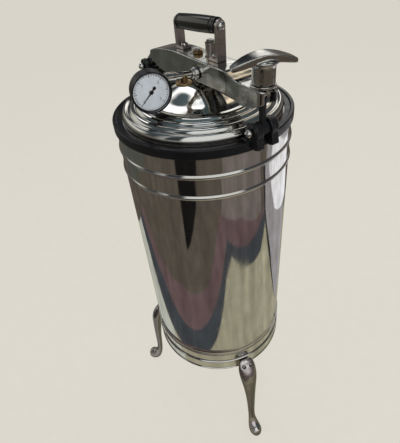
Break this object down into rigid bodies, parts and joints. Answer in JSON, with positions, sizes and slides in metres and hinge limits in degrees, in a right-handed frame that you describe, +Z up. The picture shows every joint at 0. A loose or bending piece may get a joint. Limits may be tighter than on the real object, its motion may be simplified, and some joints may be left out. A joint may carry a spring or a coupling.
{
  "type": "upright laboratory autoclave",
  "caption": "Upright drum autoclave on cast legs: hinged bridge and domed lid drawn down by a swing bolt and wing nut, with gauge, relief valve and carrying handle.",
  "frame": {"origin": "on the floor, under the middle of the whole box; the drum's axis is 27 mm to its -X and 28 mm to its +Y", "axes": "+Z up along the drum's axis, -Y to the swing bolt at the front, +Y to the bridge's hinge"},
  "size_m": [0.4216, 0.433, 1.0481],
  "materials": {
    "polished_steel": "mirror polished sheet and castings, lightly handled",
    "satin_strap": "satin",
    "plain_steel": "dull",
    "bronze": "worn bronze",
    "black_cast": "rough black paint",
    "black_collar": "semi-gloss black enamel",
    "blackened_steel": "semi-gloss black",
    "bakelite": "glossy black",
    "rubber": "matt",
    "dial_white": "satin white enamel",
    "gauge_glass": "clear"
  },
  "bodies": {
    "vessel": {"outer_jacket": "polished_steel", "base_skirt": "polished_steel", "flame_ring": "plain_steel", "pressure_chamber": "plain_steel", "collar_ring": "black_collar", "lid_gasket": "rubber", "trivet": "plain_steel", "basket": "plain_steel", "hinge_bracket": "black_cast", "hinge_pin": "polished_steel", "bolt_lug": "black_cast", "lug_pin": "polished_steel", "leg_front": "polished_steel", "leg_front_screw_left": "plain_steel", "leg_front_screw_right": "plain_steel", "leg_right": "polished_steel", "leg_right_screw_left": "plain_steel", "leg_right_screw_right": "plain_steel", "leg_rear": "polished_steel", "leg_rear_screw_left": "plain_steel", "leg_rear_screw_right": "plain_steel"},
    "bridge_and_lid": {"bridge": "polished_steel", "lid": "polished_steel", "lid_stud": "plain_steel", "stud_nut": "bronze", "handle_post_front": "satin_strap", "handle_post_rear": "satin_strap", "post_screw_front": "polished_steel", "post_screw_rear": "polished_steel", "handle_rod": "polished_steel", "gauge_pipe": "polished_steel", "pipe_nut": "polished_steel", "exhaust_valve": "bronze", "relief_body": "satin_strap", "gauge_case": "blackened_steel", "gauge_bezel": "blackened_steel", "gauge_glass": "gauge_glass", "gauge_dial": "dial_white", "bourdon_tube": "bronze"},
    "swing_bolt": {"swing_bolt": "blackened_steel"},
    "thrust_washer": {"thrust_washer": "polished_steel"},
    "wing_nut": {"wing_nut": "polished_steel"},
    "handle_grip": {"handle_grip": "bakelite"},
    "exhaust_wheel": {"exhaust_wheel": "bronze"},
    "relief_knob": {"relief_knob": "plain_steel"},
    "gauge_pointer": {"gauge_pointer": "bakelite"},
    "basket_bail": {"basket_bail": "plain_steel"}
  },
  "joints": [
    {"name": "bridge_swing", "type": "hinge", "parent": "vessel", "child": "bridge_and_lid", "pos_m": [-0.02692, 0.20354, 0.931], "axis": [-1, 0, 0], "range_deg": [0, 104]},
    {"name": "bolt_swing", "type": "hinge", "parent": "vessel", "child": "swing_bolt", "pos_m": [-0.02692, -0.13646, 0.91], "axis": [1, 0, 0], "range_deg": [0, 149]},
    {"name": "nut_lift", "type": "slide", "parent": "swing_bolt", "child": "thrust_washer", "axis": [0, 0, 1], "range_m": [0, 0.009]},
    {"name": "nut_turn", "type": "hinge", "parent": "thrust_washer", "child": "wing_nut", "pos_m": [-0.02692, -0.13646, 0.99], "axis": [0, 0, 1], "range_deg": [0, 1800]},
    {"name": "grip_turn", "type": "hinge", "parent": "bridge_and_lid", "child": "handle_grip", "pos_m": [-0.02692, 0.02754, 1.0318], "axis": [0, 0.9968, -0.0795], "continuous": true},
    {"name": "exhaust_turn", "type": "hinge", "parent": "bridge_and_lid", "child": "exhaust_wheel", "pos_m": [-0.07392, 0.00172, 0.9554], "axis": [0, 0, -1], "range_deg": [0, 270]},
    {"name": "relief_lift", "type": "slide", "parent": "bridge_and_lid", "child": "relief_knob", "axis": [0, 0, 1], "range_m": [0, 0.0025]},
    {"name": "pointer_turn", "type": "hinge", "parent": "bridge_and_lid", "child": "gauge_pointer", "pos_m": [-0.13282, 0.00844, 0.9565], "axis": [0.23, 0.9732, 0], "range_deg": [0, 270]},
    {"name": "bail_swing", "type": "hinge", "parent": "vessel", "child": "basket_bail", "pos_m": [-0.02692, 0.02754, 0.684], "axis": [1, 0, 0], "range_deg": [0, 180]}
  ],
  "couplings": [
    {"joint": "nut_lift", "follows": "nut_turn", "m_per_rad": 0.00027852}
  ]
}
